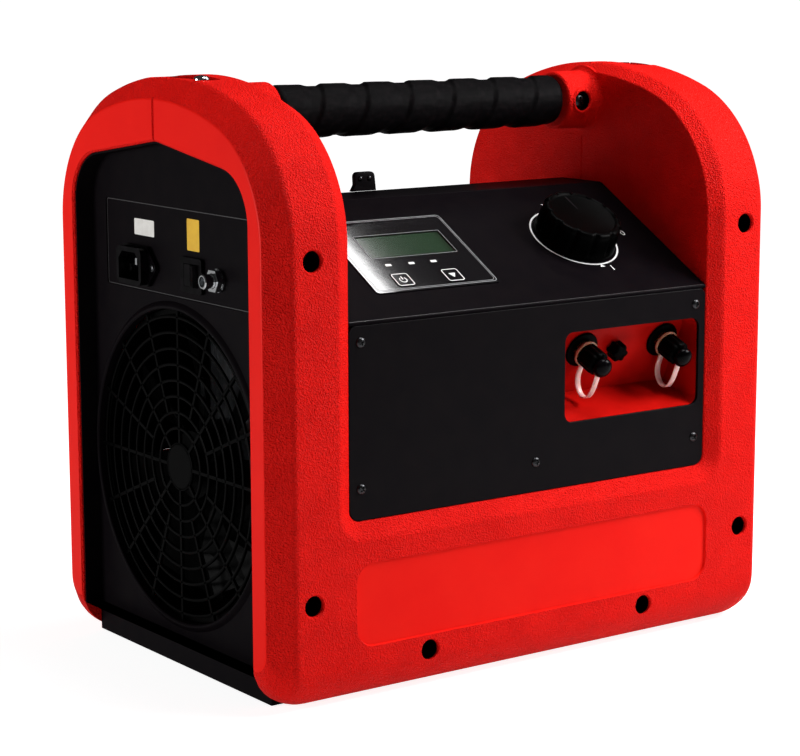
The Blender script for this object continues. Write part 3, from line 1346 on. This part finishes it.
def digit(text, size, place):
    """A plain number as a thin raised print, centred on the place."""
    curve = bpy.data.curves.new("dial_" + text, "FONT")
    curve.body = text
    curve.size = size
    curve.align_x = "CENTER"
    curve.align_y = "CENTER"
    curve.extrude = (ink(0)[1] - ink(0)[0]) / 2
    curve.resolution_u = 4
    solid = welded(baked(linked(curve.name, curve)))
    solid.data.transform(place)
    return solid


class RECOVERY_OT_selector(bpy.types.Operator):
    """Fluted selector knob, its printed arc and the plain numbers round it"""
    bl_idname = "recovery.selector"
    bl_label = "Selector"

    def execute(self, context):
        sizes = context.scene.recovery_sizes
        slope = slope_frame()
        place = slope @ Matrix.Translation((KNOB_X, KNOB_S, 0))
        radius, height = sizes.knob_radius, sizes.knob_height

        def fluted(angle, reach, level):
            if reach < radius - 0.0045 or level < 0.0030:
                return reach
            dent = max(0.0, cos(12 * (angle + pi / 12))) ** 3
            return reach - 0.0016 * dent * min(1.0, (level - 0.0030) / 0.0015)

        crown = [(radius, 0.0012), (0.0062, 0.0012), (0.0054, 0.0009), (0.0046, 0.0002), (0.0038, 0.0),
                 (0.0028, 0.0001), (0.0016, 0.0009), (0.0009, 0.0022)]
        flank = [(0.0009 - 0.0006 * k / 5, 0.0022 + (height - 0.0068) * k / 5) for k in range(1, 6)]
        foot = [(radius - 0.0002, 0.0032), (radius, 0.0026), (radius, GAP + 0.0003),
                (radius - 0.0003, GAP), (0.0, GAP)]
        profile = inside(radius, height, crown + flank) + foot
        knob = turned("fluted_knob", profile, place, 192, fluted)
        finish(knob, "black_moulded", body="selector", sharp=30, slot="black_moulded",
               replaces="selector_knob")
        line = height - 0.0012
        pointer = prism("knob_pointer", rectangle(-0.0006, 0.0006, 0.006, radius - 0.0066, 0.0005),
                        line - 0.0002, line + 0.0001, place)
        finish(pointer, "black_sheet", body="selector", slot="black_moulded")
        bow = arc((0, 0), sizes.dial_radius + 0.0006, radians(100), radians(340), 90)
        back = arc((0, 0), sizes.dial_radius - 0.0006, radians(340), radians(100), 90)
        marks = [prism("dial_arc", bow + back, *ink(0), place)]
        for u, v, turn in ((0.0012, 0.0362, pi), (0.0007, -0.0307, 0.0)):
            spin = Matrix.Translation((u, v, 0)) @ Matrix.Rotation(turn, 4, "Z")
            wedge = [(-0.0018, -0.0015), (0.0018, -0.0015), (0.0, 0.0016)]
            marks.append(prism("dial_wedge", wedge, *ink(0), place @ spin))
        for text, x, s in (("0", 0.1140, 0.0610), ("1", 0.0800, 0.0265), ("2", 0.0890, 0.0935)):
            marks.append(digit(text, 0.0072, slope @ Matrix.Translation((x, s, sum(ink(0)) / 2))))
        finish(merged("dial_print", marks), "white_ink", slot="black_moulded")
        dress("zinc", "valve_stem")
        dress("brass", "valve_block")
        return {"FINISHED"}


# Ports

def ribbed(count, depth):
    """Ribs along a turned cap."""
    def reach(angle, radius, height):
        return radius - depth * (0.5 + 0.5 * cos(count * angle)) if radius > 0.0058 else radius
    return reach


class RECOVERY_OT_ports(bpy.types.Operator):
    """Port recess, flare ports, ribbed caps with their straps, and the bleed knob"""
    bl_idname = "recovery.ports"
    bl_label = "Ports"

    def execute(self, context):
        dress("red_painted", "port_tray")
        dress("brass", "inlet_port", "outlet_port")
        for name, x in PORTS.items():
            self.one_port(name, port_frame(x, PORT_RISE))
        self.bleed(port_frame(BLEED_X, BLEED_RISE))
        return {"FINISHED"}

    def one_port(self, name, place):
        hex_high = 2 * GAP + WASHER_THICK + HEX_THICK
        start = hex_high + GAP
        top = start + 0.0125
        bore = 0.0049 + GAP
        radius = 0.0080
        washer = [(0.0112, 0.0023), (0.0116, 0.0021), (0.0118, 0.0017), (0.0118, 0.0005), (0.0116, GAP),
                  (bore, GAP), (bore, 0.0023), (0.0112, 0.0023)]
        finish(turned(name + "_sealing_washer", washer, place, 64), "black_moulded",
               slot="black_moulded", replaces=name + "_washer")
        loop = inside(0.0086, hex_high, [(0.0007, 0.0020), (0.0003, 0.0019), (0.0, 0.0014), (0.0, 0.0006),
                                         (0.0003, 0.0001), (0.0007, 0.0), (0.0007, 0.0020)])
        finish(turned(name + "_strap_eye", loop, place, 64), "vinyl_eye", slot="tether_plastic")
        shaft = 0.0019
        crown = [(0.0016, 0.0), (0.0006, 0.0005), (0.0001, 0.0014), (0.0, 0.0020)]
        groove = [(0.0, -0.0022), (0.0007, -0.0018), (0.0007, -0.0012), (0.0, -0.0008), (0.0, 0.0)]
        profile = [(shaft, top), *inside(radius, top, crown), *inside(radius, start, groove), (bore, start),
                   (bore, top - 0.0013), (shaft, top - 0.0013), (shaft, top)]
        cap = turned(name + "_ribbed_cap", profile, place, 144, ribbed(12, 0.0006))
        finish(cap, "black_moulded", body=name + "_cover", sharp=40, slot="black_moulded",
               replaces=name + "_cap")
        ball = top + GAP + 0.0022
        button = [(0.0, ball + 0.0052)] + [(0.0064 * sin(a), ball + 0.001 + 0.0042 * cos(a))
                                           for a in [pi * k / 24 for k in range(1, 13)]]
        button += [(0.0064, ball - 0.0001), (0.0058, ball - 0.0006), (0.0034, ball - 0.0006),
                   (0.0032, top + GAP), (0.0016, top + GAP), (0.0016, top - 0.0010), (0.0, top - 0.0010)]
        finish(turned(name + "_end_button", button, place, 48), "black_gloss", body=name + "_end",
               slot="black_moulded", replaces=name + "_cap_button")
        self.strap(name, place, hex_high, top)

    def strap(self, name, place, hex_high, top):
        """A soft flat strap from the neck, down in a loop and up to the end button."""
        inner = HEX_ACROSS / 2 / cos(pi / 6) + GAP
        low = hex_high - 0.002
        high = top + GAP + 0.0009
        near = 0.0035
        route = [(inner, low), (inner + 0.0080, low), (inner + 0.0145, low + 0.0025),
                 (inner + 0.0181, low + 0.0080), (inner + 0.0164, low + 0.0135),
                 (inner + 0.0100, high - 0.0001), (near + 0.0065, high + 0.0002), (near, high)]
        path = smooth_path([(r, h, 0) for r, h in route], 8)
        stations = []
        for i, here in enumerate(path):
            ahead = (path[min(i + 1, len(path) - 1)] - path[max(i - 1, 0)]).normalized()
            spot = place @ Vector((0.0, -here.x, here.y))
            normal = place.to_3x3() @ Vector((0.0, ahead.y, ahead.x))
            stations.append((spot, Vector((1, 0, 0)), normal))
        half, thick = 0.0023, 0.0005
        section = [(-half, 0), (-half * 0.8, -thick), (half * 0.8, -thick), (half, 0),
                   (half * 0.8, thick), (-half * 0.8, thick)]
        strap = sweep(name + "_cap_strap", stations, section)
        strap.data.materials.append(MATERIALS["vinyl"])
        strap.data.shade_smooth()
        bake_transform(strap)
        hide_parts(name + "_tether")

    def bleed(self, place):
        def lobed(angle, radius, height):
            return radius * (0.88 + 0.12 * cos(6 * angle)) if radius > 0.003 else radius

        height = 0.0088
        profile = [(0, height), (0.0048, height), (0.0056, height - 0.0003), (0.0061, height - 0.0010),
                   (0.0062, height - 0.0018), (0.0062, 0.0012), (0.0058, GAP + 0.0003), (0.0054, GAP),
                   (0.0025, GAP), (0.0025, -0.0065), (0, -0.0065)]
        finish(turned("lobed_bleed_knob", profile, place, 120, lobed), "black_moulded",
               body="bleed_valve", sharp=40, slot="black_moulded", replaces="bleed_knob")


# Ends

def end_flange(name, side):
    """Turned-out edge of an end panel, which lines the opening up to the rim."""
    foot = 0.019
    ring = tunnel_outline(GAP, foot) + tunnel_outline(GAP + 0.0010, foot)[::-1]
    low, high = sorted((side * END_FACE, side * (WIDTH / 2 - 0.0020)))
    finish(prism(name, ring, low, high, ALONG_X), "black_panel", slot="black_moulded")


class RECOVERY_OT_left_end(bpy.types.Operator):
    """Left end panel with the raised hoop and the ringed fan grille"""
    bl_idname = "recovery.left_end"
    bl_label = "Left end"

    def execute(self, context):
        sizes = context.scene.recovery_sizes
        field = widened(FIELD_Y, FIELD_Z, -0.004)
        opening = circle((0, FAN_Z), sizes.grille_opening, 128)
        face = (-END_FACE, -END_FACE + 0.004)
        panel = prism("left_sheet", [tunnel_outline(GAP, 0.0), field, opening], *face, ALONG_X)
        pocket = widened(FIELD_Y, FIELD_Z, GAP, 0.002)
        panel = cut(panel, prism("field_pocket", pocket, face[0] - 0.01, face[0] + 0.0029, ALONG_X))
        finish(panel, "black_panel", slot="black_moulded", replaces="left_panel")
        end_flange("left_flange", -1)
        place = end_frame(0, FAN_Z)
        r = sizes.grille_opening
        hoop = [(r, -0.001), (r, 0.0012), (r + 0.0006, 0.0019), (r + 0.0014, 0.0022), (r + 0.0022, 0.0020),
                (r + 0.0036, 0.0010), (r + 0.0048, 0.0), (r + 0.0048, -0.001), (r, -0.001)]
        finish(turned("fan_hoop", hoop, place, 160), "black_panel", slot="black_moulded")
        grille = grown("fan_grille", grille_tree(), "black_moulded", Ring_Pitch=sizes.grille_pitch,
                       Rings=sizes.grille_rings, Spokes=sizes.grille_spokes, Outer_Radius=r + 0.0004)
        grille.data.transform(place @ Matrix.Translation((0, 0, -0.0018)))
        finish(grille, slot="black_moulded")
        shroud = hollow(0.0925, r - 0.0005, -0.004, -0.040)
        finish(turned("fan_shroud", shroud, place, 96), "black_moulded", slot="black_moulded")
        return {"FINISHED"}


class RECOVERY_OT_connections(bpy.types.Operator):
    """Connection plate with inlet, switch, sensor socket and two blank labels"""
    bl_idname = "recovery.connections"
    bl_label = "Connections"

    def execute(self, context):
        dress("black_panel", "connection_plate")
        dress("black_gloss", "power_inlet", "switch_frame", "switch_rocker")
        dress("chrome", "sensor_socket", "sensor_nut")
        x = FIELD_LOW[0]
        labels = {"white_label": (0.0250, 0.0490, 0.2630, 0.2730),
                  "yellow_label": (-0.0280, -0.0140, 0.2590, 0.2780)}
        for name, corners in labels.items():
            outline = rectangle(*corners, 0.0008)
            label = prism("blank_" + name, outline, x - 0.00008, x + 0.0001, ALONG_X)
            finish(label, name, slot="black_painted_steel")
        edge = outline_strip("plate_edge", FIELD_Y, FIELD_Z, 0.0, 0.0018, 0.0005, x - 0.00006, x,
                             ALONG_X)
        finish(edge, "rubbed", slot="black_painted_steel")
        at_inlet = end_frame(INLET_Y, SOCKET_Z, x)
        blades = []
        for u, v in ((-0.007, -0.002), (0.0, 0.002), (0.007, -0.002)):
            outline = rectangle(u - 0.00105, u + 0.00105, v - 0.00205, v + 0.00205)
            blades.append(prism("blade", outline, -0.0090, 0.0024, at_inlet))
        finish(merged("inlet_blades", blades), "chrome", slot="chromed_steel")
        ears = [((x - 0.0028, INLET_Y + side * 0.020, SOCKET_Z), (-1, 0, 0)) for side in (-1, 1)]
        screws("inlet_screws", ears, "black_painted_steel", Radius=0.0026, Height=0.0010,
               Recess=0.0008, Depth=0.0008)
        return {"FINISHED"}


class RECOVERY_OT_right_end(bpy.types.Operator):
    """Right end panel with its rows of air slots"""
    bl_idname = "recovery.right_end"
    bl_label = "Right end"

    def execute(self, context):
        rows = [0.036 + k * 0.012 for k in range(14)]
        slots = [rectangle(low, high, z, z + 0.005, 0.0021, 4) for z in rows
                 for low, high in ((-0.080, -0.005), (0.005, 0.080))]
        panel = prism("right_sheet", [tunnel_outline(GAP, 0.0), *slots], END_FACE - 0.004, END_FACE,
                      ALONG_X, 0.0003)
        finish(panel, "black_panel", sharp=10, slot="black_moulded", replaces="right_panel")
        end_flange("right_flange", 1)
        return {"FINISHED"}


class RECOVERY_OT_fasteners(bpy.types.Operator):
    """Dark bolts in the holes of the case and in the handle sleeves"""
    bl_idname = "recovery.fasteners"
    bl_label = "Case bolts"

    def execute(self, context):
        # Each hole: its place, how far its bolt head stands out, and its dark liner
        hole = context.scene.recovery_sizes.bolt_hole - 0.0001
        face = DEPTH / 2
        liner = hollow(hole - 0.0003, hole, face - 0.0022, face - 0.0150)
        holes = [(x, z, face - 0.0125, liner) for x, z in BOLT_PLACES]
        sleeve = hollow(0.0060, 0.0063, BOSS_RADIUS - 0.0008, BOSS_RADIUS - 0.0057)
        holes.append((BOSS_HOLE_X, HANDLE_Z, BOSS_RADIUS - 0.0042, sleeve))
        places, liners = [], []
        for facing, turn in ((-1, Matrix()), (1, HALF_TURN)):
            for side in (-1, 1):
                for x, z, seat, profile in holes:
                    places.append(((side * x, facing * seat, z), (0, facing, 0)))
                    liners.append(turned("liner", profile, turn @ facing_front(side * x, z), 40))
        screws("case_bolts", places, "black_painted_steel", Radius=0.0050, Height=0.0026, Recess=0.0014,
               Depth=0.0016)
        finish(merged("hole_liners", liners), "black_moulded", slot="black_moulded")
        return {"FINISHED"}


class RECOVERY_OT_machinery(bpy.types.Operator):
    """Finishes of the fan, the finned coil, the compressor and the tubes inside"""
    bl_idname = "recovery.machinery"
    bl_label = "Machinery"

    def execute(self, context):
        dress("black_sheet", "base_pan")
        dress("black_moulded", "fan_impeller", "run_capacitor")
        dress("zinc", "fan_motor", "fan_bracket", "filter_drier", "low_pressure_switch",
              "high_pressure_switch")
        dress("fins", "condenser")
        dress("cast", "compressor_motor", "crankcase", "cylinder_head_front", "cylinder_head_rear")
        dress("rubber", *[f"rubber_mount_{k}" for k in (1, 2, 3, 4)])
        dress("copper", "inlet_tube", "suction_tube", "discharge_tube", "liquid_tube")
        low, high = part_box("condenser")
        pitch = 0.0022
        half = 0.088
        count = int((2 * half - 0.004) / pitch)
        fins = grown("coil_fins", plates_tree(), "fins", Count=count, Pitch=pitch,
                     Size=(high[0] - low[0] + 0.002, 0.0003, high[2] - low[2] - 0.004))
        middle = ((low[0] + high[0]) / 2, -pitch * (count - 1) / 2, (low[2] + high[2]) / 2)
        fins.data.transform(Matrix.Translation(middle))
        finish(fins, slot="coil_aluminium")
        return {"FINISHED"}


# Studio

def area_light(name, power, size, place, target):
    light = bpy.data.lights.new(name, "AREA")
    light.shape = "RECTANGLE"
    light.size, light.size_y = size
    light.energy = power
    obj = linked(name, light)
    obj.location = place
    aim = Vector(target) - Vector(place)
    obj.rotation_euler = aim.to_track_quat("-Z", "Y").to_euler()


class RECOVERY_OT_studio(bpy.types.Operator):
    """Seamless paper floor, soft lights and the camera at the photograph's view"""
    bl_idname = "recovery.studio"
    bl_label = "Studio"

    def execute(self, context):
        light = context.scene.recovery_studio
        floor = turned("paper_floor", [(0, -0.0005), (40.0, -0.0005), (40.0, -0.05), (0, -0.05)], None, 96)
        floor.data.materials.append(MATERIALS["paper"])
        middle = (0, 0, 0.18)
        area_light("key", light.key, (0.40, 0.40), (0.66, -0.52, 0.70), middle)
        area_light("side", light.side, (0.5, 0.4), (-1.4, 0.50, 0.26), middle)
        area_light("top", light.top, (0.6, 0.6), (0.30, -0.25, 1.5), middle)
        area_light("glare", light.glare, (0.26, 0.03), (0.580, 0.277, 1.168), (-0.098, -0.09, 0.25))
        world = bpy.data.worlds.new("White surround")
        world.use_nodes = True
        tree = world.node_tree
        seen = add(tree, "ShaderNodeLightPath").outputs["Is Camera Ray"]
        level = out(tree, "ShaderNodeMapRange", Value=seen, _3=light.world, _4=1.0)
        tree.links.new(level, tree.nodes["Background"].inputs["Strength"])
        tree.nodes["Background"].inputs["Color"].default_value = (1, 1, 1, 1)
        context.scene.world = world
        context.scene.view_settings.view_transform = "Standard"
        camera = bpy.data.cameras.new("photo_camera")
        camera.sensor_width = SENSOR_WIDTH
        camera.lens = FOCAL_PIXELS * SENSOR_WIDTH / FRAME_SIZE[0]
        camera.clip_start = 0.05
        obj = linked("photo_camera", camera)
        turn = (Matrix.Rotation(CAMERA_TURN, 4, "Z") @ Matrix.Rotation(pi / 2 + CAMERA_PITCH, 4, "X")
                @ Matrix.Rotation(CAMERA_ROLL, 4, "Z"))
        obj.matrix_world = Matrix.Translation(CAMERA_PLACE) @ turn
        context.scene.camera = obj
        return {"FINISHED"}


class RECOVERY_PT_panel(bpy.types.Panel):
    """Lists the groups of pieces and their settings."""
    bl_idname = "RECOVERY_PT_panel"
    bl_label = "Recovery machine"
    bl_space_type = "VIEW_3D"
    bl_region_type = "UI"
    bl_category = "Recovery machine"

    def draw(self, context):
        layout = self.layout
        for group in ("recovery_sizes", "recovery_colours", "recovery_studio"):
            box = layout.box()
            settings = getattr(context.scene, group)
            for key in settings.__annotations__:
                box.prop(settings, key)
        for operator in OPERATORS:
            layout.operator(operator.bl_idname)


GROUPS = {"recovery_sizes": RECOVERY_PG_sizes, "recovery_colours": RECOVERY_PG_colours,
          "recovery_studio": RECOVERY_PG_studio}
OPERATORS = [RECOVERY_OT_studio, RECOVERY_OT_shells, RECOVERY_OT_handle, RECOVERY_OT_cover,
             RECOVERY_OT_plates, RECOVERY_OT_membrane, RECOVERY_OT_selector, RECOVERY_OT_ports,
             RECOVERY_OT_left_end, RECOVERY_OT_connections, RECOVERY_OT_right_end,
             RECOVERY_OT_fasteners, RECOVERY_OT_machinery]


def register():
    for item in [*GROUPS.values(), *OPERATORS, RECOVERY_PT_panel]:
        bpy.utils.register_class(item)
    for key, group in GROUPS.items():
        setattr(bpy.types.Scene, key, bpy.props.PointerProperty(type=group))


def unregister():
    for key in GROUPS:
        delattr(bpy.types.Scene, key)
    for item in reversed([*GROUPS.values(), *OPERATORS, RECOVERY_PT_panel]):
        bpy.utils.unregister_class(item)


def main():
    register()
    scene = bpy.context.scene
    make_materials(scene.recovery_colours, scene.recovery_studio.glow)
    for operator in OPERATORS:
        group, call = operator.bl_idname.split(".")
        getattr(getattr(bpy.ops, group), call)()


if __name__ == "__main__":
    main()
